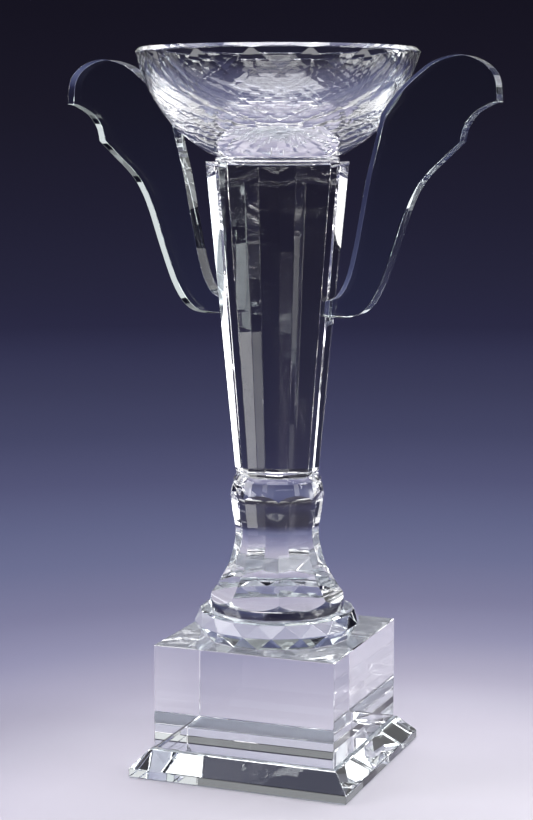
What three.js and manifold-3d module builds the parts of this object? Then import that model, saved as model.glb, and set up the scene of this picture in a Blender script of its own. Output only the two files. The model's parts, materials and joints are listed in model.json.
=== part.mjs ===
// A clear crystal cup trophy: a cut bowl with two flat wing handles, on a tapered
// eight-sided column, a fluted pedestal, a cut foot disc and a square two-part base.
// Every piece is cut and polished by itself and bonded to the next with a clear glue film.
// Millimetres, +Z up, origin at the centre of the underside, handles along X.
import * as THREE from "three";
import { mergeVertices } from "three/addons/utils/BufferGeometryUtils.js";
import Module from "manifold-3d";

const wasm = await Module();
wasm.setup();

// ---- Driving dimensions -------------------------------------------------------------

const GLUE = 0.25; // thickness of every glue film
const ARRIS = 0.5; // small polished bevel on the long straight edges

const PLATE_SIDE = 120.5; // square base plate, across its upright edge
const PLATE_EDGE = 4.5; // height of that upright edge
const PLATE_BEVEL_RISE = 9.25;
const PLATE_BEVEL_RUN = 8.5;

const BLOCK_SIDE = 100;
const BLOCK_HEIGHT = 55.5;

const FOOT_SIDES = 18;
const FOOT_TURN = -3; // degrees the foot disc is turned about the axis
const FOOT_BASE_RADIUS = 40.5;
const FOOT_GIRDLE_RADIUS = 44.2;
const FOOT_SHOULDER_RADIUS = 41.3;
const FOOT_TOP_RADIUS = 39.5;
const FOOT_GIRDLE_HEIGHT = 6.75;
const FOOT_SHOULDER_HEIGHT = 13;
const FOOT_HEIGHT = 13.75;

const PEDESTAL_HEIGHT = 72;
const PEDESTAL_BASE_RADIUS = 35.9;
const PEDESTAL_WAIST_RADIUS = 22.1; // over the ridges between the flutes
const PEDESTAL_BULGE_RADIUS = 24.7;
const PEDESTAL_TOP_RADIUS = 21.6;

const COLUMN_SIDES = 8;
const COLUMN_HEIGHT = 163.75;
const COLUMN_BASE_RADIUS = 22; // over the corners, at the lower end
const COLUMN_TOP_RADIUS = 37.4; // over the corners, at the upper end
const COLUMN_FOOT_BEVEL = 1.75;

const DISC_RADIUS = 32.4; // thin round disc between column and bowl
const DISC_HEIGHT = 2;

const BOWL_HEIGHT = 55.25;
const BOWL_BASE_RADIUS = 31;
const BOWL_RIM_RADIUS = 72.8;
const BOWL_SECTION_RADIUS = 71; // radius of the arc that the outside is cut to
const BOWL_RIM_BEVEL = 1.25;
const BOWL_WALL = 6.25; // wall at the rim
const BOWL_FLOOR = 10.75; // glass under the cavity
const CAVITY_SEGMENTS = 48;

// Rows of flat facets on the bowl, from the rim down: how many, how far each face leans
// under from upright in degrees, and its turn in half facets.
const BOWL_FACETS = [
  { count: 16, lean: 13, halves: 0 },
  { count: 32, lean: 19.5, halves: 1 },
  { count: 32, lean: 23.5, halves: 0 },
  { count: 32, lean: 27.5, halves: 1 },
  { count: 32, lean: 31.5, halves: 0 },
  { count: 32, lean: 35.5, halves: 1 },
  { count: 32, lean: 40, halves: 0 },
  { count: 16, lean: 47, halves: 1 },
  { count: 16, lean: 54, halves: 0 },
  { count: 16, lean: 61, halves: 1 },
];

const HANDLE_THICKNESS = 12;
const HANDLE_FOOT_DROP = 78; // middle of the foot below the underside of the bowl
const HANDLE_FOOT_LENGTH = 8; // bonded length on the column
const HANDLE_SEAT_RISE = 25; // middle of the bowl seat above the underside of the bowl
const HANDLE_SEAT_LENGTH = 9; // bonded length on the bowl
const SEAT_DEPTH = 0.75; // depth the seat is ground into the bowl
const SEAT_MARGIN = 1; // seat left showing round the handle's edge

// ---- Levels -------------------------------------------------------------------------

// Heights stay on a 1/64 mm grid, so faces that meet have exactly the same height.
const onGrid = (length) => Math.round(length * 64) / 64;

const plateHeight = onGrid(PLATE_EDGE + PLATE_BEVEL_RISE);
const blockHeight = onGrid(BLOCK_HEIGHT);
const footHeight = onGrid(FOOT_HEIGHT);
const pedestalHeight = onGrid(PEDESTAL_HEIGHT);
const columnHeight = onGrid(COLUMN_HEIGHT);
const discHeight = onGrid(DISC_HEIGHT);
const bowlHeight = onGrid(BOWL_HEIGHT);
const film = onGrid(GLUE);

const blockLevel = plateHeight + film;
const footLevel = blockLevel + blockHeight + film;
const pedestalLevel = footLevel + footHeight + film;
const columnLevel = pedestalLevel + pedestalHeight + film;
const discLevel = columnLevel + columnHeight + film;
const bowlLevel = discLevel + discHeight + film;

// ---- Making solids ------------------------------------------------------------------

const TURN = 2 * Math.PI;
const radians = THREE.MathUtils.degToRad;

// Radius over the corners of a regular polygon whose flats lie at a given distance.
const overCorners = (sides, flat) => flat / Math.cos(Math.PI / sides);

function toSolid(geometry) {
  const bare = geometry.clone();
  bare.deleteAttribute("normal");
  bare.deleteAttribute("uv");
  const merged = mergeVertices(bare, 1e-4);
  return new wasm.Manifold(
    new wasm.Mesh({
      numProp: 3,
      vertProperties: merged.attributes.position.array,
      triVerts: new Uint32Array(merged.index.array),
    }),
  );
}

function toGeometry(solid) {
  const mesh = solid.getMesh();
  const geometry = new THREE.BufferGeometry();
  geometry.setAttribute("position", new THREE.BufferAttribute(mesh.vertProperties, 3));
  geometry.setIndex(new THREE.BufferAttribute(mesh.triVerts, 1));
  geometry.computeVertexNormals();
  return geometry;
}

// A closed solid through regular polygons of one number of sides, from the bottom up.
// A ring is { radius, z, halves }: radius over the corners, and its turn in half sides.
function stackPolygons(sides, rings) {
  const positions = [];
  const faces = [];
  for (const { radius, z, halves = 1 } of rings) {
    for (let side = 0; side < sides; side++) {
      const angle = ((side + halves / 2) * TURN) / sides;
      positions.push(radius * Math.cos(angle), radius * Math.sin(angle), z);
    }
  }
  for (let ring = 0; ring + 1 < rings.length; ring++) {
    for (let side = 0; side < sides; side++) {
      const next = (side + 1) % sides;
      const low = ring * sides;
      const high = low + sides;
      faces.push(low + side, low + next, high + side);
      faces.push(high + side, low + next, high + next);
    }
  }
  const top = (rings.length - 1) * sides;
  for (let side = 1; side + 1 < sides; side++) {
    faces.push(0, side + 1, side);
    faces.push(top, top + side, top + side + 1);
  }
  const geometry = new THREE.BufferGeometry();
  geometry.setAttribute("position", new THREE.Float32BufferAttribute(positions, 3));
  geometry.setIndex(faces);
  geometry.computeVertexNormals();
  return geometry;
}

// A square slab whose flats lie at each ring's half width.
const stackSquares = (rings) =>
  stackPolygons(4, rings.map(([half, z]) => ({ radius: overCorners(4, half), z })));

// A turned solid about Z from [radius, z] points that start and end on the axis.
function turn(points, segments) {
  const profile = points.map(([radius, z]) => new THREE.Vector2(radius, z));
  return new THREE.LatheGeometry(profile, segments).rotateX(Math.PI / 2);
}

// A flat plate whose outline is drawn in X and Z, centred on the plane Y = 0.
function cutPlate(outline, thickness) {
  const settings = { depth: thickness, bevelEnabled: false, curveSegments: 10 };
  const plate = new THREE.ExtrudeGeometry(outline, settings);
  return plate.rotateX(Math.PI / 2).translate(0, thickness / 2, 0);
}

// ---- Finishes -----------------------------------------------------------------------

const crystal = () =>
  new THREE.MeshStandardMaterial({ color: 0xf4f6fa, roughness: 0.02, metalness: 0 });
const plateGlass = () =>
  new THREE.MeshStandardMaterial({ color: 0xd3e8e6, roughness: 0.03, metalness: 0 });
const clearGlue = () =>
  new THREE.MeshStandardMaterial({ color: 0xffffff, roughness: 0.2, metalness: 0 });

const trophy = new THREE.Group();

function add(parent, name, geometry, material, level = 0) {
  const mesh = new THREE.Mesh(geometry, material);
  mesh.name = name;
  mesh.position.z = level;
  parent.add(mesh);
}

// ---- Base: bevelled plate and block -------------------------------------------------

const plateTopHalf = PLATE_SIDE / 2 - PLATE_BEVEL_RUN;
const basePlate = stackSquares([
  [PLATE_SIDE / 2 - ARRIS, 0],
  [PLATE_SIDE / 2, ARRIS],
  [PLATE_SIDE / 2, PLATE_EDGE],
  [plateTopHalf, plateHeight],
]);
add(trophy, "base_plate", basePlate, plateGlass());

const blockFaceHalf = BLOCK_SIDE / 2 - ARRIS;
const plateGlue = stackSquares([
  [blockFaceHalf, 0],
  [blockFaceHalf, film],
]);
add(trophy, "plate_glue", plateGlue, clearGlue(), plateHeight);

const baseBlock = stackSquares([
  [blockFaceHalf, 0],
  [BLOCK_SIDE / 2, ARRIS],
  [BLOCK_SIDE / 2, blockHeight - ARRIS],
  [blockFaceHalf, blockHeight],
]);
add(trophy, "base_block", baseBlock, crystal(), blockLevel);

// ---- Foot disc: a band of triangles over a band of triangles ------------------------

const footDisc = stackPolygons(FOOT_SIDES, [
  { radius: FOOT_BASE_RADIUS, z: 0, halves: 0 },
  { radius: FOOT_GIRDLE_RADIUS, z: FOOT_GIRDLE_HEIGHT, halves: 1 },
  { radius: FOOT_SHOULDER_RADIUS, z: FOOT_SHOULDER_HEIGHT, halves: 2 },
  { radius: FOOT_TOP_RADIUS, z: footHeight, halves: 2 },
]).rotateZ(radians(FOOT_TURN));
add(trophy, "foot_disc", footDisc, plateGlass(), footLevel);

const footFlat = FOOT_BASE_RADIUS * Math.cos(Math.PI / FOOT_SIDES);
const roundFilm = (radius) =>
  stackPolygons(48, [
    { radius, z: 0 },
    { radius, z: film },
  ]);
add(trophy, "foot_glue", roundFilm(footFlat), clearGlue(), footLevel - film);

// ---- Pedestal: a turned body with eight flutes ground down its length ---------------

const flatShare = Math.cos(Math.PI / COLUMN_SIDES);
const pedestalProfile = new THREE.Path();
pedestalProfile.moveTo(0, 0);
pedestalProfile.lineTo(PEDESTAL_BASE_RADIUS - ARRIS, 0);
pedestalProfile.lineTo(PEDESTAL_BASE_RADIUS, ARRIS);
pedestalProfile.lineTo(PEDESTAL_BASE_RADIUS, 0.06 * pedestalHeight);
pedestalProfile.splineThru(
  [
    [0.965 * PEDESTAL_BASE_RADIUS, 0.122],
    [0.9 * PEDESTAL_BASE_RADIUS, 0.18],
    [PEDESTAL_WAIST_RADIUS + 6.4, 0.29],
    [PEDESTAL_WAIST_RADIUS + 3.2, 0.42],
    [PEDESTAL_WAIST_RADIUS + 2, 0.6],
    [PEDESTAL_BULGE_RADIUS, 0.8],
    [PEDESTAL_BULGE_RADIUS, 0.865],
    [PEDESTAL_TOP_RADIUS + 1.6, 0.97],
  ].map(([radius, share]) => new THREE.Vector2(radius, share * pedestalHeight)),
);
pedestalProfile.lineTo(PEDESTAL_TOP_RADIUS, pedestalHeight);
pedestalProfile.lineTo(0, pedestalHeight);
const pedestalPoints = pedestalProfile.getPoints(3).map(({ x, y }) => [x, y]);
const turnedBody = turn(pedestalPoints, 64);

// Distance of the flutes from the axis, by share of the pedestal's height.
const fluteCurve = new THREE.SplineCurve(
  [
    [PEDESTAL_BASE_RADIUS + 4, 0],
    [PEDESTAL_BASE_RADIUS, 0.066],
    [0.873 * PEDESTAL_BASE_RADIUS, 0.13],
    [PEDESTAL_WAIST_RADIUS * flatShare + 4.7, 0.285],
    [PEDESTAL_WAIST_RADIUS * flatShare + 1.6, 0.41],
    [PEDESTAL_WAIST_RADIUS * flatShare, 0.57],
    [PEDESTAL_BULGE_RADIUS * flatShare - 1, 0.72],
    [PEDESTAL_BULGE_RADIUS * flatShare, 0.83],
    [PEDESTAL_BULGE_RADIUS + 0.3, 0.9],
    [PEDESTAL_BULGE_RADIUS + 3, 1],
  ].map(([flat, share]) => new THREE.Vector2(flat, share * pedestalHeight)),
);
const fluteRings = fluteCurve.getPoints(26).map(({ x, y }) => ({
  radius: overCorners(COLUMN_SIDES, x),
  z: y,
}));
const fluted = toSolid(turnedBody).intersect(toSolid(stackPolygons(COLUMN_SIDES, fluteRings)));
add(trophy, "pedestal", toGeometry(fluted), crystal(), pedestalLevel);
add(
  trophy,
  "pedestal_glue",
  roundFilm(PEDESTAL_BASE_RADIUS - ARRIS),
  clearGlue(),
  pedestalLevel - film,
);

// ---- Column: a tapered eight-sided prism --------------------------------------------

// Radius over the column's corners at a height above its lower end.
const columnRadius = (height) =>
  THREE.MathUtils.lerp(COLUMN_BASE_RADIUS, COLUMN_TOP_RADIUS, height / columnHeight);

const columnEndRadius = COLUMN_BASE_RADIUS - 0.8;
const column = stackPolygons(COLUMN_SIDES, [
  { radius: columnEndRadius, z: 0 },
  { radius: columnRadius(COLUMN_FOOT_BEVEL), z: COLUMN_FOOT_BEVEL },
  { radius: columnRadius(columnHeight - ARRIS), z: columnHeight - ARRIS },
  { radius: COLUMN_TOP_RADIUS - ARRIS, z: columnHeight },
]);
add(trophy, "column", column, crystal(), columnLevel);

const columnFilm = stackPolygons(COLUMN_SIDES, [
  { radius: Math.min(columnEndRadius, PEDESTAL_TOP_RADIUS) - ARRIS, z: 0 },
  { radius: Math.min(columnEndRadius, PEDESTAL_TOP_RADIUS) - ARRIS, z: film },
]);
add(trophy, "column_glue", columnFilm, clearGlue(), columnLevel - film);

// ---- Disc between the column and the bowl -------------------------------------------

const bowlDisc = turn(
  [
    [0, 0],
    [DISC_RADIUS - ARRIS, 0],
    [DISC_RADIUS, ARRIS],
    [DISC_RADIUS, discHeight - ARRIS],
    [DISC_RADIUS - ARRIS, discHeight],
    [0, discHeight],
  ],
  64,
);
add(trophy, "bowl_disc", bowlDisc, crystal(), discLevel);

const columnFaceFlat = (COLUMN_TOP_RADIUS - ARRIS) * flatShare;
const discFilmRadius = Math.min(DISC_RADIUS - ARRIS, columnFaceFlat);
add(trophy, "disc_glue", roundFilm(discFilmRadius), clearGlue(), discLevel - film);
const bowlFilmRadius = Math.min(DISC_RADIUS - ARRIS, BOWL_BASE_RADIUS - 1);
add(trophy, "bowl_glue", roundFilm(bowlFilmRadius), clearGlue(), bowlLevel - film);

// ---- Bowl: cut outside, smooth inside -----------------------------------------------

// Centre of the outside's section arc, which passes through the base and the rim.
const baseToRim = new THREE.Vector2(BOWL_RIM_RADIUS - BOWL_BASE_RADIUS, bowlHeight);
const halfChord = baseToRim.length() / 2;
const towardsCentre = Math.sqrt(BOWL_SECTION_RADIUS ** 2 - halfChord ** 2) / (2 * halfChord);
const sectionCentre = new THREE.Vector2(
  BOWL_BASE_RADIUS + baseToRim.x / 2 - baseToRim.y * towardsCentre,
  baseToRim.y / 2 + baseToRim.x * towardsCentre,
);

// Point of the section arc where the face leans under by a given angle.
const sectionPoint = (lean) =>
  new THREE.Vector2(
    sectionCentre.x + BOWL_SECTION_RADIUS * Math.cos(lean),
    sectionCentre.y - BOWL_SECTION_RADIUS * Math.sin(lean),
  );

// Cuts away what lies outside a plane that leans under by an angle, facing an azimuth.
function grind(solid, point, lean, azimuth) {
  const across = Math.cos(lean);
  const inwards = [-across * Math.cos(azimuth), -across * Math.sin(azimuth), Math.sin(lean)];
  const offset = -across * point.x + Math.sin(lean) * point.y;
  return solid.trimByPlane(inwards, offset);
}

// The turned blank stays outside the facets, but for its base and its bevelled rim.
const blankRadius = BOWL_RIM_RADIUS + 2;
const bowlBlank = turn(
  [
    [0, 0],
    [BOWL_BASE_RADIUS, 0],
    [blankRadius, (blankRadius - BOWL_BASE_RADIUS) / 3],
    [blankRadius, bowlHeight - BOWL_RIM_BEVEL - 2],
    [BOWL_RIM_RADIUS - BOWL_RIM_BEVEL, bowlHeight],
    [0, bowlHeight],
  ],
  96,
);
let cutBowl = toSolid(bowlBlank);
for (const { count, lean, halves } of BOWL_FACETS) {
  const leanAngle = radians(lean);
  for (let facet = 0; facet < count; facet++) {
    const azimuth = ((facet + halves / 2) * TURN) / count;
    cutBowl = grind(cutBowl, sectionPoint(leanAngle), leanAngle, azimuth);
  }
}

// The seats for the handles are ground on both sides, on the X axis.
const seatLean = Math.asin((sectionCentre.y - HANDLE_SEAT_RISE) / BOWL_SECTION_RADIUS);
const seatPoint = sectionPoint(seatLean);
const intoBowl = new THREE.Vector2(-Math.cos(seatLean), Math.sin(seatLean));
const seatFace = seatPoint.clone().addScaledVector(intoBowl, SEAT_DEPTH);
for (const azimuth of [0, Math.PI]) {
  cutBowl = grind(cutBowl, seatFace, seatLean, azimuth);
}

// The cavity is a half ellipse turned about the axis, with the rim a little below its middle.
const cavityTop = 4;
const cavityDepth = bowlHeight - BOWL_FLOOR + cavityTop;
const cavityMouth = BOWL_RIM_RADIUS - BOWL_WALL;
const cavityRadius = cavityMouth / Math.sqrt(1 - (cavityTop / cavityDepth) ** 2);
const cavityOutline = new THREE.EllipseCurve(
  0,
  bowlHeight + cavityTop,
  cavityRadius,
  cavityDepth,
  -Math.PI / 2,
  0,
);
const cavityProfile = cavityOutline.getPoints(18).map(({ x, y }) => [Math.max(x, 0), y]);
cavityProfile[0][0] = 0;
cavityProfile.push([0, bowlHeight + cavityTop]);
cutBowl = cutBowl.subtract(toSolid(turn(cavityProfile, CAVITY_SEGMENTS)));
add(trophy, "bowl", toGeometry(cutBowl), crystal(), bowlLevel);

// ---- Handles: flat wings from the column's side to the bowl's side ------------------

// Heights here are measured from the underside of the bowl, distances from the axis.
// Distance of the column's flat side from the axis at such a height.
const footLean = Math.atan(
  ((COLUMN_TOP_RADIUS - COLUMN_BASE_RADIUS) * flatShare) / columnHeight,
);
const columnSide = (height) =>
  columnRadius(height + bowlLevel - columnLevel) * flatShare;

// Ends of a bonded stretch of the handle's edge, lying on a glue film against a face.
function bondedStretch(middle, lean, length) {
  const outwards = new THREE.Vector2(Math.cos(lean), -Math.sin(lean));
  const upwards = new THREE.Vector2(Math.sin(lean), Math.cos(lean));
  const end = (side, gap) =>
    middle
      .clone()
      .addScaledVector(outwards, gap)
      .addScaledVector(upwards, (side * length) / 2);
  return { low: end(-1, film), high: end(1, film), lowFace: end(-1, 0), highFace: end(1, 0) };
}

const footMiddle = new THREE.Vector2(columnSide(-HANDLE_FOOT_DROP), -HANDLE_FOOT_DROP);
const foot = bondedStretch(footMiddle, footLean, HANDLE_FOOT_LENGTH);
const seat = bondedStretch(seatFace, seatLean, HANDLE_SEAT_LENGTH);

// A point given by its share of the way from the foot to the seat and its distance out.
const onTheWay = (share, out) =>
  new THREE.Vector2().lerpVectors(foot.high, seat.low, share).add(new THREE.Vector2(out, 0));
const fromSeat = (x, z) => seat.high.clone().add(new THREE.Vector2(x, z));
const fromFoot = (x, z) => foot.low.clone().add(new THREE.Vector2(x, z));

const tip = fromSeat(54.8, -1.8);
const notch = fromSeat(36.2, -21.2);
const wing = new THREE.Shape();
wing.moveTo(foot.low.x, foot.low.y);
wing.lineTo(foot.high.x, foot.high.y);
wing.splineThru([
  onTheWay(0.03, 5.2),
  onTheWay(0.12, 7.4),
  onTheWay(0.26, 6.9),
  onTheWay(0.45, 4.8),
  onTheWay(0.66, 2.3),
  onTheWay(0.84, 1.1),
  seat.low,
]);
wing.lineTo(seat.high.x, seat.high.y);
wing.splineThru([
  fromSeat(5.5, 6),
  fromSeat(13, 12.6),
  fromSeat(22, 18.7),
  fromSeat(35, 21.6),
  fromSeat(46.5, 18),
  fromSeat(53.2, 10.4),
  tip,
]);
wing.splineThru([fromSeat(50.5, -2.8), fromSeat(43, -7.2), fromSeat(37.9, -14), notch]);
wing.splineThru([
  fromSeat(27.3, -29.6),
  fromSeat(20.2, -36.2),
  fromSeat(14, -43.8),
  fromSeat(8.2, -56),
  fromFoot(36, 32.5),
  fromFoot(29, 14.2),
  fromFoot(21.5, 3.6),
  fromFoot(13, 0),
  foot.low,
]);

// A thin glue film under a bonded stretch.
function edgeFilm({ low, high, lowFace, highFace }) {
  const outline = new THREE.Shape([lowFace, low, high, highFace]);
  return cutPlate(outline, HANDLE_THICKNESS - 2 * ARRIS);
}

for (const [side, angle] of [["right", 0], ["left", Math.PI]]) {
  const arm = new THREE.Group();
  arm.rotation.z = angle;
  add(arm, "handle_" + side, cutPlate(wing, HANDLE_THICKNESS), plateGlass(), bowlLevel);
  add(arm, "handle_foot_glue_" + side, edgeFilm(foot), clearGlue(), bowlLevel);
  add(arm, "handle_seat_glue_" + side, edgeFilm(seat), clearGlue(), bowlLevel);
  trophy.add(arm);
}

export default trophy;
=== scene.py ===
import json
import math

import bmesh
import bpy
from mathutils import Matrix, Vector

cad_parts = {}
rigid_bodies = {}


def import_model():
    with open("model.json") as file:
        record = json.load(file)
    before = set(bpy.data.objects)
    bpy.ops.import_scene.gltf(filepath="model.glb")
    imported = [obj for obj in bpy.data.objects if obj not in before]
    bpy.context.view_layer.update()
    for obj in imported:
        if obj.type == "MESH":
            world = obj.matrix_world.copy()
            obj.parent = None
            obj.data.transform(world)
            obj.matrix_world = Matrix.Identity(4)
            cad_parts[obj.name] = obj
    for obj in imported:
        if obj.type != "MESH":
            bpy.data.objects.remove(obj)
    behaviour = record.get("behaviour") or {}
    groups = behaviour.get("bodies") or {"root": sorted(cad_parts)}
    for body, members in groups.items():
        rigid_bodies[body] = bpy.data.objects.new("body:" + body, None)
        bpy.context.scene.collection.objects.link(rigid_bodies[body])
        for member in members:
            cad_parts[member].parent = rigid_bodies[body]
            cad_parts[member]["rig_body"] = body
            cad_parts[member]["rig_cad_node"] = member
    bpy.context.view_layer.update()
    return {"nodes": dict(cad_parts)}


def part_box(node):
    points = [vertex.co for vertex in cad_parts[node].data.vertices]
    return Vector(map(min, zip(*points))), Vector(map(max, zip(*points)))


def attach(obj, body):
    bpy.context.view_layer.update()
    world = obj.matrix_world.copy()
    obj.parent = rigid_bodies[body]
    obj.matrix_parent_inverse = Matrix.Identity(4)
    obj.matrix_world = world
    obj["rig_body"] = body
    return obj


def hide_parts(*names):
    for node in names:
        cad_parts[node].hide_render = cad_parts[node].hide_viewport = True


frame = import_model()


# ---- Base plate ---------------------------------------------------------------------
# A square slab of plate crystal, faintly green-blue through its thickness. Its upper
# edges are ground to a wide slope, and every edge is polished to a fine arris.
MM = 0.001
PLATE_HALF = 60.25 * MM
PLATE_EDGE = 4.5 * MM
PLATE_TOP_HALF = 51.75 * MM
BLOCK_HALF = 50 * MM
ARRIS = 0.5 * MM
PLATE_ARRIS = 0.4 * MM
POLISHED_CORNER = 20
SAME_PLACE = 0.01 * MM
HAIR = 0.001 * MM


def wipe_marks():
    """A group that gives the faint unevenness of hand-polished, wiped crystal."""
    group = bpy.data.node_groups.new("wipe marks", "ShaderNodeTree")
    sides = {"in": "INPUT", "out": "OUTPUT"}
    for name, side, kind in (
        ("Clean Roughness", "in", "NodeSocketFloat"),
        ("Marked Roughness", "in", "NodeSocketFloat"),
        ("Mark Size", "in", "NodeSocketFloat"),
        ("Roughness", "out", "NodeSocketFloat"),
        ("Height", "out", "NodeSocketFloat"),
    ):
        group.interface.new_socket(name, in_out=sides[side], socket_type=kind)
    nodes, links = group.nodes, group.links
    given = nodes.new("NodeGroupInput")
    made = nodes.new("NodeGroupOutput")
    place = nodes.new("ShaderNodeTexCoord")
    marks = nodes.new("ShaderNodeTexNoise")
    marks.inputs["Detail"].default_value = 3
    marks.inputs["Distortion"].default_value = 0.6
    links.new(place.outputs["Object"], marks.inputs["Vector"])
    links.new(given.outputs["Mark Size"], marks.inputs["Scale"])
    where = nodes.new("ShaderNodeMapRange")
    where.interpolation_type = "SMOOTHSTEP"
    where.inputs["From Min"].default_value = 0.56
    where.inputs["From Max"].default_value = 0.78
    links.new(marks.outputs["Fac"], where.inputs["Value"])
    links.new(given.outputs["Clean Roughness"], where.inputs["To Min"])
    links.new(given.outputs["Marked Roughness"], where.inputs["To Max"])
    links.new(where.outputs["Result"], made.inputs["Roughness"])
    swell = nodes.new("ShaderNodeTexNoise")
    swell.inputs["Scale"].default_value = 38
    swell.inputs["Detail"].default_value = 1
    links.new(place.outputs["Object"], swell.inputs["Vector"])
    links.new(swell.outputs["Fac"], made.inputs["Height"])
    return group


WIPE_MARKS = wipe_marks()


def polished_crystal(name, colour, ior):
    """Clear glass, with the wipe marks in its polish."""
    material = bpy.data.materials.new(name)
    material.use_nodes = True
    nodes, links = material.node_tree.nodes, material.node_tree.links
    glass = nodes["Principled BSDF"]
    glass.inputs["Base Color"].default_value = (*colour, 1)
    glass.inputs["Transmission Weight"].default_value = 1
    glass.inputs["IOR"].default_value = ior
    marks = nodes.new("ShaderNodeGroup")
    marks.node_tree = WIPE_MARKS
    marks.inputs["Clean Roughness"].default_value = 0
    marks.inputs["Marked Roughness"].default_value = 0.012
    marks.inputs["Mark Size"].default_value = 60
    links.new(marks.outputs["Roughness"], glass.inputs["Roughness"])
    bump = nodes.new("ShaderNodeBump")
    bump.inputs["Strength"].default_value = 0.02
    bump.inputs["Distance"].default_value = 0.2 * MM
    links.new(marks.outputs["Height"], bump.inputs["Height"])
    links.new(bump.outputs["Normal"], glass.inputs["Normal"])
    return material


def bonded_face():
    """A face wetted by the glue, which light passes as if the glass went on."""
    material = bpy.data.materials.new("bonded face")
    material.use_nodes = True
    nodes, links = material.node_tree.nodes, material.node_tree.links
    nodes.remove(nodes["Principled BSDF"])
    clear = nodes.new("ShaderNodeBsdfTransparent")
    links.new(clear.outputs["BSDF"], nodes["Material Output"].inputs["Surface"])
    return material


PLATE_CRYSTAL = polished_crystal("plate crystal", (0.88, 0.96, 0.975), 1.52)
BONDED = bonded_face()


def start_polygon(name, sides, radius, level, turn=0.0):
    """A flat polygon about the axis, with its first corner at turn, in edit mode."""
    bpy.ops.object.select_all(action="DESELECT")
    bpy.ops.mesh.primitive_circle_add(
        vertices=sides,
        radius=radius,
        fill_type="NGON",
        location=(0, 0, level),
        rotation=(0, 0, turn - math.pi / 2),
    )
    piece = bpy.context.object
    piece.name = piece.data.name = name
    bpy.ops.object.transform_apply(location=True, rotation=True, scale=True)
    bpy.ops.object.mode_set(mode="EDIT")
    bpy.ops.mesh.select_all(action="SELECT")
    return piece


def pull_up(level, rise, widen=1.0):
    """Extrudes the picked face from a level up by a rise, and widens it."""
    bpy.ops.mesh.extrude_region_move(TRANSFORM_OT_translate={"value": (0, 0, rise)})
    bpy.ops.transform.resize(
        value=(widen, widen, 1), center_override=(0, 0, level + rise)
    )


def pick(kind, test):
    """Picks the faces or edges that pass a test, in edit mode."""
    bpy.ops.mesh.select_mode(type=kind)
    bpy.ops.mesh.select_all(action="DESELECT")
    mesh = bpy.context.object.data
    shape = bmesh.from_edit_mesh(mesh)
    for part in {"FACE": shape.faces, "EDGE": shape.edges}[kind]:
        part.select_set(bool(test(part)))
    bmesh.update_edit_mesh(mesh)


def grind_edges(piece, width, angle, segments=2):
    """Bevels every edge sharper than an angle, in object mode."""
    arris = piece.modifiers.new("arris", "BEVEL")
    arris.width = width
    arris.segments = segments
    arris.limit_method = "ANGLE"
    arris.angle_limit = math.radians(angle)
    bpy.ops.object.modifier_apply(modifier=arris.name)


def bond(piece, level, radius, sides, turn=0.0):
    """Marks out the bonded patch, a polygon, in the flat face at a level."""
    bpy.ops.object.mode_set(mode="EDIT")

    def lies_flat(face):
        off_level = abs(face.calc_center_median().z - level)
        return abs(face.normal.z) > 0.999 and off_level < SAME_PLACE

    pick("FACE", lies_flat)
    bpy.ops.mesh.delete(type="ONLY_FACE")
    bpy.ops.mesh.select_mode(type="EDGE")
    bpy.ops.mesh.select_all(action="DESELECT")
    bpy.ops.mesh.primitive_circle_add(
        vertices=sides,
        radius=radius,
        fill_type="NOTHING",
        location=(0, 0, level),
        rotation=(0, 0, turn - math.pi / 2),
    )
    pick("EDGE", lambda edge: edge.is_boundary or edge.is_wire)
    bpy.ops.mesh.fill(use_beauty=True)
    pick(
        "EDGE",
        lambda edge: edge.is_boundary
        and all(corner.co.xy.length < radius + HAIR for corner in edge.verts),
    )
    bpy.ops.mesh.edge_face_add()
    bpy.ops.mesh.select_all(action="SELECT")
    bpy.ops.mesh.normals_make_consistent(inside=False)
    bpy.ops.object.mode_set(mode="OBJECT")
    mark_bonded(piece, level)


def mark_bonded(piece, level):
    """Gives the middle face at a level the bonded finish."""
    for face in piece.data.polygons:
        off_axis = face.center.xy.length
        if abs(face.center.z - level) < SAME_PLACE and off_axis < SAME_PLACE:
            face.material_index = 1


def finish_piece(piece, finish, slot, *nodes):
    """Gives a piece its finish and lets it stand for its CAD nodes."""
    piece.data.materials.append(finish)
    if any(face.material_index for face in piece.data.polygons):
        piece.data.materials.append(BONDED)
    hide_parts(*nodes)
    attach(piece, "root")


SQUARE = math.radians(45)
ROOT_2 = math.sqrt(2)
plate_low, plate_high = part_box("base_plate")
plate = start_polygon("plate", 4, PLATE_HALF * ROOT_2, plate_low.z, SQUARE)
pull_up(plate_low.z, PLATE_EDGE)
pull_up(
    plate_low.z + PLATE_EDGE,
    plate_high.z - plate_low.z - PLATE_EDGE,
    PLATE_TOP_HALF / PLATE_HALF,
)
bpy.ops.object.mode_set(mode="OBJECT")
grind_edges(plate, PLATE_ARRIS, POLISHED_CORNER)
bond(plate, plate_high.z, (BLOCK_HALF - ARRIS) * ROOT_2, 4, SQUARE)
finish_piece(plate, PLATE_CRYSTAL, "tinted_crystal", "base_plate")


# ---- Glue film under the block ------------------------------------------------------
# Clear glue, cured by ultraviolet light, pressed out to the edges of the block's flat
# underside. Only its rim shows, as a fine line round the joint.
GLUE = polished_crystal("cured glue", (0.98, 0.98, 0.98), 1.5)
RIM_HOLLOW = 0.05 * MM


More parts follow.
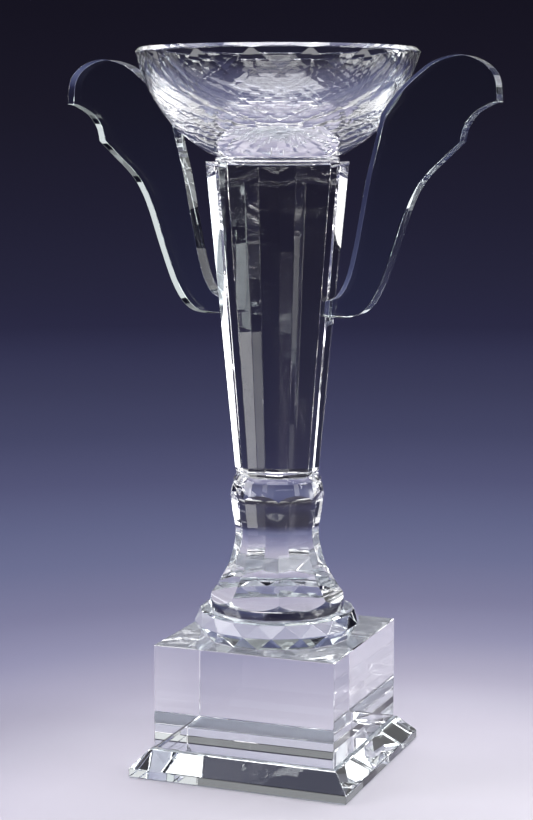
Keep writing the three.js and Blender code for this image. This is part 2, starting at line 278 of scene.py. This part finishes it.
def glue_film(name, node, radius, sides, turn=0.0):
    """A film that fills the room between two levels, with a slightly hollow rim."""
    low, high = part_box(node)
    film = start_polygon(name, sides, radius, low.z, turn)
    half = (high.z - low.z) / 2
    pull_up(low.z, half, 1 - RIM_HOLLOW / radius)
    pull_up(low.z + half, half, 1 / (1 - RIM_HOLLOW / radius))
    bpy.ops.mesh.select_all(action="SELECT")
    bpy.ops.mesh.normals_make_consistent(inside=False)
    bpy.ops.object.mode_set(mode="OBJECT")
    mark_bonded(film, low.z)
    mark_bonded(film, high.z)
    finish_piece(film, GLUE, "clear_glue", node)
    return film


glue_film("glue_under_block", "plate_glue", (BLOCK_HALF - ARRIS) * ROOT_2, 4, SQUARE)


# ---- Base block ---------------------------------------------------------------------
# A plain square block of colourless crystal, sawn, ground flat and polished on all six
# faces, with a fine arris along every edge.
CLEAR_CRYSTAL = polished_crystal("clear crystal", (0.99, 0.995, 1), 1.52)
FOOT_SIDES = 18
FOOT_BASE = 40.5 * MM
ROUND = 96
FOOT_TURN = math.radians(-3)

block_low, block_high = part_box("base_block")
block = start_polygon("block", 4, BLOCK_HALF * ROOT_2, block_low.z, SQUARE)
pull_up(block_low.z, block_high.z - block_low.z)
bpy.ops.object.mode_set(mode="OBJECT")
grind_edges(block, ARRIS, POLISHED_CORNER)
mark_bonded(block, block_low.z)
bond(block, block_high.z, FOOT_BASE, FOOT_SIDES, FOOT_TURN)
finish_piece(block, CLEAR_CRYSTAL, "clear_crystal", "base_block")


# ---- Foot disc and its glue ---------------------------------------------------------
# A thick disc of plate crystal with a gem cut: a band of flat triangles rises to the
# girdle, and a second band closes in to a narrow bevel round the top.
FOOT_GIRDLE = 44.2 * MM
FOOT_SHOULDER = 41.3 * MM
FOOT_TOP = 39.5 * MM
GIRDLE_RISE = 6.75 * MM
SHOULDER_RISE = 6.25 * MM
FOOT_ARRIS = 0.12 * MM
GEM_CORNER = 4
PEDESTAL_BASE = 35.9 * MM

glue_film("glue_under_foot", "foot_glue", FOOT_BASE, FOOT_SIDES, FOOT_TURN)

foot_low, foot_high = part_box("foot_disc")
foot = start_polygon("foot", FOOT_SIDES, FOOT_BASE, foot_low.z, FOOT_TURN)
level = foot_low.z
for rise, widen in (
    (GIRDLE_RISE, FOOT_GIRDLE / FOOT_BASE),
    (SHOULDER_RISE, FOOT_SHOULDER / FOOT_GIRDLE),
):
    pull_up(level, rise, widen)
    level += rise
    bpy.ops.transform.rotate(
        value=math.pi / FOOT_SIDES,
        orient_axis="Z",
        center_override=(0, 0, level),
    )
pick("FACE", lambda face: abs(face.normal.z) < 0.99)
bpy.ops.mesh.quads_convert_to_tris(quad_method="SHORTEST_DIAGONAL")
pick("FACE", lambda face: face.normal.z > 0.99)
pull_up(level, foot_high.z - level, FOOT_TOP / FOOT_SHOULDER)
bpy.ops.object.mode_set(mode="OBJECT")
grind_edges(foot, FOOT_ARRIS, GEM_CORNER, segments=1)
mark_bonded(foot, foot_low.z)
bond(foot, foot_high.z, PEDESTAL_BASE - ARRIS, ROUND)
finish_piece(foot, PLATE_CRYSTAL, "tinted_crystal", "foot_disc")


# ---- Pedestal and its glue ----------------------------------------------------------
# A waisted body, turned first and then ground with eight long flutes that end in round
# arches under its collar and above its foot. The ridges between flutes stay sharp.
COLUMN_SIDES = 8
EIGHTH = math.radians(22.5)
glue_film("glue_under_pedestal", "pedestal_glue", PEDESTAL_BASE - ARRIS, ROUND)
pedestal_low, pedestal_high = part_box("pedestal")
pedestal_tall = pedestal_high.z - pedestal_low.z
waist, bulge, collar = 22.1 * MM, 24.7 * MM, 21.6 * MM
flat_share = math.cos(EIGHTH)
TURNED_SIDES = 192
TURNED_START = math.radians(0.6)
CURVE_STEPS = 8
RIDGE_ANGLE = 0.5
# Each pair is a radius and a share of the pedestal's height.
TURNED = (
    (0.965 * PEDESTAL_BASE, 0.122),
    (0.9 * PEDESTAL_BASE, 0.18),
    (waist + 6.4 * MM, 0.29),
    (waist + 3.2 * MM, 0.42),
    (waist + 2 * MM, 0.6),
    (bulge, 0.8),
    (bulge, 0.865),
    (collar + 1.6 * MM, 0.97),
)
FLUTED = (
    (PEDESTAL_BASE + 8 * MM, -0.06),
    (PEDESTAL_BASE + 4 * MM, 0),
    (PEDESTAL_BASE, 0.066),
    (0.873 * PEDESTAL_BASE, 0.13),
    (waist * flat_share + 4.7 * MM, 0.285),
    (waist * flat_share + 1.6 * MM, 0.41),
    (waist * flat_share, 0.57),
    (bulge * flat_share - 1 * MM, 0.72),
    (bulge * flat_share, 0.83),
    (bulge + 0.3 * MM, 0.9),
    (bulge + 3 * MM, 1),
    (bulge + 6 * MM, 1.1),
)


def smooth_line(points, steps):
    """Points on the smooth line through some (radius, height) points."""
    line = []
    ends = [points[0], *points, points[-1]]
    for a, b, c, d in zip(ends, ends[1:], ends[2:], ends[3:]):
        for step in range(steps):
            t = step / steps
            line.append(
                tuple(
                    b[i]
                    + 0.5
                    * t
                    * (
                        c[i]
                        - a[i]
                        + t * (2 * a[i] - 5 * b[i] + 4 * c[i] - d[i])
                        + t * t * (3 * (b[i] - c[i]) + d[i] - a[i])
                    )
                    for i in (0, 1)
                )
            )
    return [*line, points[-1]]


def stack_rings(name, sides, rings, turn=0.0):
    """A closed body pulled up through (radius, level) rings, in edit mode."""
    radius, level = rings[0]
    body = start_polygon(name, sides, radius, level, turn)
    for wider, higher in rings[1:]:
        pull_up(level, higher - level, wider / radius)
        radius, level = wider, higher
    bpy.ops.mesh.select_all(action="SELECT")
    bpy.ops.mesh.normals_make_consistent(inside=False)
    return body


def to_level(line):
    """Turns each (radius, share of the pedestal's height) into (radius, level)."""
    return [(radius, pedestal_low.z + share * pedestal_tall) for radius, share in line]


turned_rings = [
    (PEDESTAL_BASE - ARRIS, pedestal_low.z),
    (PEDESTAL_BASE, pedestal_low.z + ARRIS),
    *to_level(smooth_line([(PEDESTAL_BASE, 0.06), *TURNED], CURVE_STEPS)),
    (collar, pedestal_high.z),
]
pedestal = stack_rings("pedestal_body", TURNED_SIDES, turned_rings, TURNED_START)
bpy.ops.object.mode_set(mode="OBJECT")
flute_rings = [
    (flat / flat_share, level)
    for flat, level in to_level(smooth_line(FLUTED, CURVE_STEPS))
]
flutes = stack_rings("flutes", COLUMN_SIDES, flute_rings, EIGHTH)
bpy.ops.mesh.select_all(action="SELECT")
bpy.ops.object.mode_set(mode="OBJECT")
bpy.ops.object.select_all(action="DESELECT")
bpy.context.view_layer.objects.active = pedestal
pedestal.select_set(True)
grind = pedestal.modifiers.new("grind flutes", "BOOLEAN")
grind.operation = "INTERSECT"
grind.solver = "EXACT"
grind.object = flutes
bpy.ops.object.modifier_apply(modifier=grind.name)
bpy.data.objects.remove(flutes)


def is_flute(face):
    """True for a face ground by a flute, which looks straight along an eighth turn."""
    if abs(face.normal.z) > 0.99:
        return False
    turn = math.degrees(math.atan2(face.normal.y, face.normal.x)) / 45
    return abs(turn - round(turn)) < 0.002


def ridge(edge):
    """True for an edge that the grinding leaves sharp."""
    a, b = edge.link_faces
    level_change = abs(a.normal.z) > 0.99 or abs(b.normal.z) > 0.99
    ground_side = is_flute(a) != is_flute(b)
    return level_change or ground_side or edge.calc_face_angle() > RIDGE_ANGLE


bpy.ops.object.mode_set(mode="EDIT")
bpy.ops.mesh.select_all(action="SELECT")
bpy.ops.mesh.remove_doubles(threshold=0.002 * MM)
bpy.ops.mesh.faces_shade_smooth()
pick("EDGE", lambda edge: len(edge.link_faces) == 2 and ridge(edge))
bpy.ops.mesh.mark_sharp()
bpy.ops.object.mode_set(mode="OBJECT")
mark_bonded(pedestal, pedestal_low.z)
COLUMN_END = 21.2 * MM
column_patch = COLUMN_END - ARRIS
bond(pedestal, pedestal_high.z, column_patch, COLUMN_SIDES, EIGHTH)
finish_piece(pedestal, CLEAR_CRYSTAL, "clear_crystal", "pedestal")


# ---- Column and its glue ------------------------------------------------------------
# A tapered prism with eight flat sides, widest at the top. Its lower end has a broad
# bevel, and its long edges have a fine arris that catches the light.
COLUMN_FOOT = 22 * MM
COLUMN_TOP = 37.4 * MM
COLUMN_FOOT_BEVEL = 1.75 * MM
COLUMN_ARRIS = 0.35 * MM
DISC_RADIUS = 32.4 * MM
disc_patch = DISC_RADIUS - ARRIS

glue_film("glue_under_column", "column_glue", column_patch, COLUMN_SIDES, EIGHTH)
column_low, column_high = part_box("column")
column_tall = column_high.z - column_low.z
bevel_top = COLUMN_FOOT + (COLUMN_TOP - COLUMN_FOOT) * COLUMN_FOOT_BEVEL / column_tall
column = stack_rings(
    "column_body",
    COLUMN_SIDES,
    [
        (COLUMN_END, column_low.z),
        (bevel_top, column_low.z + COLUMN_FOOT_BEVEL),
        (COLUMN_TOP, column_high.z),
    ],
    EIGHTH,
)
bpy.ops.object.mode_set(mode="OBJECT")
grind_edges(column, COLUMN_ARRIS, POLISHED_CORNER)
bond(column, column_low.z, column_patch, COLUMN_SIDES, EIGHTH)
bond(column, column_high.z, disc_patch, ROUND)
finish_piece(column, CLEAR_CRYSTAL, "clear_crystal", "column")


# ---- Disc under the bowl, and its glue ----------------------------------------------
# A thin round disc of clear crystal that spreads the bowl's load over the column.
# Its two edges are rounded over.
BOWL_PATCH = 30 * MM

glue_film("glue_under_disc", "disc_glue", disc_patch, ROUND)
disc_low, disc_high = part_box("bowl_disc")
disc = stack_rings(
    "disc", ROUND, [(DISC_RADIUS, disc_low.z), (DISC_RADIUS, disc_high.z)]
)
bpy.ops.object.mode_set(mode="OBJECT")
grind_edges(disc, ARRIS, 40, segments=4)
bpy.ops.object.shade_smooth_by_angle(angle=math.radians(30))
mark_bonded(disc, disc_low.z)
bond(disc, disc_high.z, BOWL_PATCH, ROUND)
finish_piece(disc, CLEAR_CRYSTAL, "clear_crystal", "bowl_disc")
glue_film("glue_under_bowl", "bowl_glue", BOWL_PATCH, ROUND)


# ---- Bowl ---------------------------------------------------------------------------
# A thick bowl, turned and then cut all over its outside with rows of flat facets. Each
# row is turned half a facet against the next, so the rows lock together like brickwork.
BOWL_BASE = 31 * MM
BOWL_RIM = 72.8 * MM
BOWL_ARC = 71 * MM
RIM_BEVEL = 1.25 * MM
BOWL_FLOOR = 10.75 * MM
BOWL_WALL = 6.25 * MM
SPARE = 2 * MM
# Each row is a count of facets, how far they lean under in degrees, and the half
# facets that the row is turned by.
FACET_ROWS = (
    (16, 13, 0),
    (32, 19.5, 1),
    (32, 23.5, 0),
    (32, 27.5, 1),
    (32, 31.5, 0),
    (32, 35.5, 1),
    (32, 40, 0),
    (16, 47, 1),
    (16, 54, 0),
    (16, 61, 1),
)
bowl_low, bowl_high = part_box("bowl")
bowl_tall = bowl_high.z - bowl_low.z
chord = Vector((BOWL_RIM - BOWL_BASE, bowl_tall))
reach = math.sqrt(BOWL_ARC**2 - chord.length_squared / 4) / chord.length
arc_radius = BOWL_BASE + chord.x / 2 - chord.y * reach
arc_level = bowl_low.z + chord.y / 2 + chord.x * reach

blank = BOWL_RIM + SPARE
bowl = stack_rings(
    "bowl_body",
    TURNED_SIDES,
    [
        (BOWL_BASE, bowl_low.z),
        (blank, bowl_low.z + (blank - BOWL_BASE) / 3),
        (blank, bowl_high.z - RIM_BEVEL - SPARE),
        (BOWL_RIM - RIM_BEVEL, bowl_high.z),
    ],
)


def cut_facet(lean, turn, deeper=0.0):
    """Grinds one flat facet that leans under and faces a turn."""
    reach = BOWL_ARC - deeper
    out = arc_radius + reach * math.cos(lean)
    bpy.ops.mesh.select_all(action="SELECT")
    bpy.ops.mesh.bisect(
        plane_co=(
            out * math.cos(turn),
            out * math.sin(turn),
            arc_level - reach * math.sin(lean),
        ),
        plane_no=(
            math.cos(lean) * math.cos(turn),
            math.cos(lean) * math.sin(turn),
            -math.sin(lean),
        ),
        use_fill=True,
        clear_outer=True,
    )


for count, lean, halves in FACET_ROWS:
    for facet in range(count):
        cut_facet(math.radians(lean), (facet + halves / 2) * math.tau / count)
SEAT_RISE = 25 * MM
SEAT_DEEPER = 0.75 * MM
seat_lean = math.asin((arc_level - bowl_low.z - SEAT_RISE) / BOWL_ARC)
for turn in (0, math.pi):
    cut_facet(seat_lean, turn, deeper=SEAT_DEEPER)
bpy.ops.mesh.select_all(action="SELECT")
bpy.ops.mesh.remove_doubles(threshold=SAME_PLACE)
bpy.ops.object.mode_set(mode="OBJECT")

CAVITY_ABOVE = 4 * MM
cavity_deep = bowl_tall - BOWL_FLOOR + CAVITY_ABOVE
narrowing = math.sqrt(1 - (CAVITY_ABOVE / cavity_deep) ** 2)
cavity_wide = (BOWL_RIM - BOWL_WALL) / narrowing
cavity_level = bowl_high.z + CAVITY_ABOVE
bpy.ops.object.select_all(action="DESELECT")
bpy.ops.mesh.primitive_uv_sphere_add(
    segments=160, ring_count=80, radius=1, location=(0, 0, cavity_level)
)
cavity = bpy.context.object
cavity.scale = (cavity_wide, cavity_wide, cavity_deep)
bpy.ops.object.transform_apply(location=True, rotation=True, scale=True)
bpy.ops.object.select_all(action="DESELECT")
bpy.context.view_layer.objects.active = bowl
bowl.select_set(True)
hollow = bowl.modifiers.new("hollow", "BOOLEAN")
hollow.operation = "DIFFERENCE"
hollow.solver = "EXACT"
hollow.object = cavity
bpy.ops.object.modifier_apply(modifier=hollow.name)
bpy.data.objects.remove(cavity)


def in_cavity(face):
    """True for a face of the smooth hollow."""
    centre = face.calc_center_median()
    across = centre.xy.length / cavity_wide
    down = (centre.z - cavity_level) / cavity_deep
    return abs(math.hypot(across, down) - 1) < 0.004 and face.normal.z > 0.02


bpy.ops.object.mode_set(mode="EDIT")
bpy.ops.mesh.select_all(action="SELECT")
bpy.ops.mesh.faces_shade_flat()
pick("FACE", in_cavity)
bpy.ops.mesh.faces_shade_smooth()
bpy.ops.object.mode_set(mode="OBJECT")
bond(bowl, bowl_low.z, BOWL_PATCH, ROUND)
finish_piece(bowl, CLEAR_CRYSTAL, "clear_crystal", "bowl")


# ---- Handles and their glue ---------------------------------------------------------
# Two flat wings, water-cut from the same plate crystal as the base and polished round
# the whole edge. Each is bonded to a flat side of the column and a seat on the bowl.
WING_ARRIS = 0.4 * MM
WING_CORNER = 60
SMOOTH_TURN = math.radians(20)
NEARLY_FLAT = math.radians(0.3)
GLUE_CLEARANCE = 0.04 * MM

for part, node, finish, slot in (
    ("wing_", "handle_", PLATE_CRYSTAL, "tinted_crystal"),
    ("glue_wing_foot_", "handle_foot_glue_", GLUE, "clear_glue"),
    ("glue_wing_seat_", "handle_seat_glue_", GLUE, "clear_glue"),
):
    bpy.ops.object.select_all(action="DESELECT")
    piece = frame["nodes"][node + "right"].copy()
    piece.data = piece.data.copy()
    bpy.context.scene.collection.objects.link(piece)
    piece.parent = None
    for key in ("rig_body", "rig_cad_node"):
        del piece[key]
    piece.name = piece.data.name = part + "right"
    piece.data.materials.clear()
    bpy.context.view_layer.objects.active = piece
    piece.select_set(True)
    bpy.ops.object.mode_set(mode="EDIT")
    bpy.ops.mesh.select_all(action="SELECT")
    bpy.ops.mesh.remove_doubles(threshold=0.005 * MM)
    bpy.ops.mesh.dissolve_limited(angle_limit=NEARLY_FLAT)
    if finish is GLUE:
        bpy.ops.mesh.select_all(action="SELECT")
        bpy.ops.transform.shrink_fatten(value=-GLUE_CLEARANCE)
    bpy.ops.object.mode_set(mode="OBJECT")
    if finish is PLATE_CRYSTAL:
        grind_edges(piece, WING_ARRIS, WING_CORNER)
        bpy.ops.object.shade_smooth_by_angle(angle=SMOOTH_TURN)
    twin = piece.copy()
    twin.data = piece.data.copy()
    bpy.context.scene.collection.objects.link(twin)
    twin.name = twin.data.name = part + "left"
    bpy.ops.object.select_all(action="DESELECT")
    bpy.context.view_layer.objects.active = twin
    twin.select_set(True)
    twin.rotation_mode = "XYZ"
    twin.rotation_euler = (0, 0, math.pi)
    bpy.ops.object.transform_apply(location=True, rotation=True, scale=True)
    finish_piece(piece, finish, slot, node + "right")
    finish_piece(twin, finish, slot, node + "left")


# ---- Backdrop -----------------------------------------------------------------------
# A plain sweep of paper: a flat floor that curves up into a wall all round. Its colour
# is
# painted light: a pale pool round the trophy, fading as painted shade to deep blue far
# away.
FLOOR_DROP = 0.3 * MM
SWEEP_FLAT = 2.4
SWEEP_CURVE = 1.2
SWEEP_TOP = 3.0
# Painted light: the paper is palest at this point, the middle of the painted pool of
# light, and height counts three times over, so the painted shade deepens faster up the
# wall.
PAINTED_POOL_CENTRE = (0.107, -0.109, 0)
UPWARD_PAINTED_SHADE = (1, 1, 3)
FAR = 5.0
bpy.ops.object.select_all(action="DESELECT")
bpy.ops.mesh.primitive_circle_add(
    vertices=128, radius=SWEEP_FLAT, fill_type="NGON", location=(0, 0, -FLOOR_DROP)
)
backdrop = bpy.context.object
backdrop.name = backdrop.data.name = "backdrop"
bpy.ops.object.transform_apply(location=True, rotation=True, scale=True)
bpy.ops.object.mode_set(mode="EDIT")
bpy.ops.mesh.select_mode(type="EDGE")
bpy.ops.mesh.select_all(action="SELECT")
sweep = [
    (
        SWEEP_FLAT + SWEEP_CURVE * math.sin(math.radians(turn)),
        SWEEP_CURVE - SWEEP_CURVE * math.cos(math.radians(turn)) - FLOOR_DROP,
    )
    for turn in range(0, 91, 5)
]
sweep.append((SWEEP_FLAT + SWEEP_CURVE, SWEEP_TOP))
for (near, low), (far, high) in zip(sweep, sweep[1:]):
    pick(
        "EDGE",
        lambda edge: edge.is_boundary
        and all(abs(corner.co.z - low) < MM for corner in edge.verts),
    )
    rise = (0, 0, high - low)
    bpy.ops.mesh.extrude_edges_move(TRANSFORM_OT_translate={"value": rise})
    bpy.ops.transform.resize(
        value=(far / near, far / near, 1), center_override=(0, 0, high)
    )
bpy.ops.object.mode_set(mode="OBJECT")
bpy.ops.object.shade_smooth()
paper = bpy.data.materials.new("paper with painted light pool")
paper.use_nodes = True
nodes, links = paper.node_tree.nodes, paper.node_tree.links
place = nodes.new("ShaderNodeTexCoord")
from_pool_centre = nodes.new("ShaderNodeVectorMath")
from_pool_centre.operation = "SUBTRACT"
from_pool_centre.inputs[1].default_value = PAINTED_POOL_CENTRE
links.new(place.outputs["Object"], from_pool_centre.inputs[0])
steeper = nodes.new("ShaderNodeVectorMath")
steeper.operation = "MULTIPLY"
steeper.inputs[1].default_value = UPWARD_PAINTED_SHADE
links.new(from_pool_centre.outputs["Vector"], steeper.inputs[0])
distance = nodes.new("ShaderNodeVectorMath")
distance.operation = "LENGTH"
links.new(steeper.outputs["Vector"], distance.inputs[0])
share = nodes.new("ShaderNodeMath")
share.operation = "DIVIDE"
share.inputs[1].default_value = FAR
links.new(distance.outputs["Value"], share.inputs[0])
grade = nodes.new("ShaderNodeValToRGB")
# Painted light: each pair is a distance in metres from the pool's middle and the colour
# there, pale in the painted pool of light and darker with distance as painted shade.
PAINTED_LIGHT_POOL_SHADES = (
    (0.10, (0.565, 0.543, 0.610)),
    (0.20, (0.494, 0.471, 0.551)),
    (0.25, (0.391, 0.374, 0.454)),
    (0.30, (0.292, 0.278, 0.359)),
    (0.40, (0.190, 0.186, 0.279)),
    (0.50, (0.135, 0.134, 0.221)),
    (0.65, (0.097, 0.104, 0.189)),
    (0.80, (0.078, 0.085, 0.164)),
    (1.00, (0.059, 0.062, 0.131)),
    (1.30, (0.045, 0.048, 0.107)),
    (1.70, (0.043, 0.045, 0.103)),
    (2.20, (0.047, 0.048, 0.117)),
    (2.60, (0.053, 0.052, 0.129)),
    (2.90, (0.044, 0.043, 0.100)),
    (3.20, (0.035, 0.033, 0.076)),
    (3.60, (0.027, 0.024, 0.051)),
    (4.00, (0.021, 0.018, 0.039)),
)
while len(grade.color_ramp.elements) < len(PAINTED_LIGHT_POOL_SHADES):
    grade.color_ramp.elements.new(0.5)
for element, (metres, colour) in zip(grade.color_ramp.elements, PAINTED_LIGHT_POOL_SHADES):
    element.position = metres / FAR
    element.color = (*colour, 1)
links.new(share.outputs["Value"], grade.inputs["Fac"])
links.new(grade.outputs["Color"], nodes["Principled BSDF"].inputs["Base Color"])
nodes["Principled BSDF"].inputs["Roughness"].default_value = 0.8
nodes["Principled BSDF"].inputs["Specular IOR Level"].default_value = 0.1
backdrop.data.materials.append(paper)

surround = bpy.data.worlds.new("surround")
bpy.context.scene.world = surround
surround.use_nodes = True
nodes, links = surround.node_tree.nodes, surround.node_tree.links
nodes["Background"].inputs["Color"].default_value = (0.08, 0.08, 0.11, 1)


# ---- Lights -------------------------------------------------------------------------
# Plain soft boxes all round the trophy. Those at its sides, high and low, give the
# crystal its white edges, and dim ones behind are seen only through it. One stands
# high in front.
VIEW_TURN = math.radians(21.324)
MIDDLE = Vector((0, 0, 0.2))
FAR_SIDE = Vector((-math.sin(VIEW_TURN), math.cos(VIEW_TURN), 0))
RIGHT_SIDE = Vector((math.cos(VIEW_TURN), math.sin(VIEW_TURN), 0))


def soft_box(name, turn, rise, away, size, brightness):
    """A soft box aimed at the trophy: turn is clockwise from behind it, in degrees."""
    lamp = bpy.data.lights.new(name, "AREA")
    lamp.shape = "RECTANGLE"
    lamp.size, lamp.size_y = size
    lamp.energy = brightness * math.pi * size[0] * size[1]
    box = bpy.data.objects.new(name, lamp)
    bpy.context.scene.collection.objects.link(box)
    turn, rise = math.radians(turn), math.radians(rise)
    level = FAR_SIDE * math.cos(turn) + RIGHT_SIDE * math.sin(turn)
    out = level * math.cos(rise) + Vector((0, 0, math.sin(rise)))
    box.location = MIDDLE + out * away
    box.rotation_mode = "QUATERNION"
    box.rotation_quaternion = (-out).to_track_quat("-Z", "Y")
    box.visible_camera = False


for settings in (
    ("right front", 130, 15, 2.2, (0.5, 0.7), 3.6),
    ("left front", -148, 17, 2.2, (0.5, 0.5), 2.0),
    ("right side", 106, 18, 2.2, (0.9, 0.7), 11),
    ("left side", -98, 18, 2.2, (1.0, 1.2), 5.7),
    ("right high", 75, 42, 2.2, (1.6, 0.6), 1.2),
    ("left high", -105, 45, 2.2, (0.9, 0.6), 0.9),
    ("right low", 68, 4, 2.2, (0.9, 0.3), 5.0),
    ("left low", -115, 4, 2.2, (0.8, 0.3), 5.0),
    ("right behind", 48, 20, 2.2, (1.2, 0.9), 0.8),
    ("left behind", -55, 28, 2.2, (1.4, 0.6), 2.0),
    ("overhead", 0, 80, 1.8, (1.2, 1.2), 6.5),
    ("high behind", 10, 60, 2.0, (1.6, 0.5), 2.9),
    ("behind right", 45, 42, 2.2, (1.1, 0.6), 0.5),
    ("behind", 0, 20, 2.2, (1.8, 0.8), 0.25),
    ("front", 180, 42, 2.2, (2.0, 0.9), 3.5),
):
    soft_box(*settings)


# ---- Camera -------------------------------------------------------------------------
# A long lens at about the height of the bowl, a metre off to the front right of the
# trophy and looking slightly down. Light is followed a long way, because it meets
# dozens of faces in a stack of crystal.
lens = bpy.data.cameras.new("camera")
lens.lens = 86.68
camera = bpy.data.objects.new("camera", lens)
bpy.context.scene.collection.objects.link(camera)
camera.location = (0.3700, -0.9635, 0.3358)
camera.rotation_euler = (math.radians(81.929), 0, VIEW_TURN)
bpy.context.scene.camera = camera

scene = bpy.context.scene
scene.view_settings.view_transform = "Standard"
scene.cycles.max_bounces = 40
scene.cycles.transmission_bounces = 40
scene.cycles.glossy_bounces = 24
scene.cycles.transparent_max_bounces = 40
scene.cycles.use_denoising = True
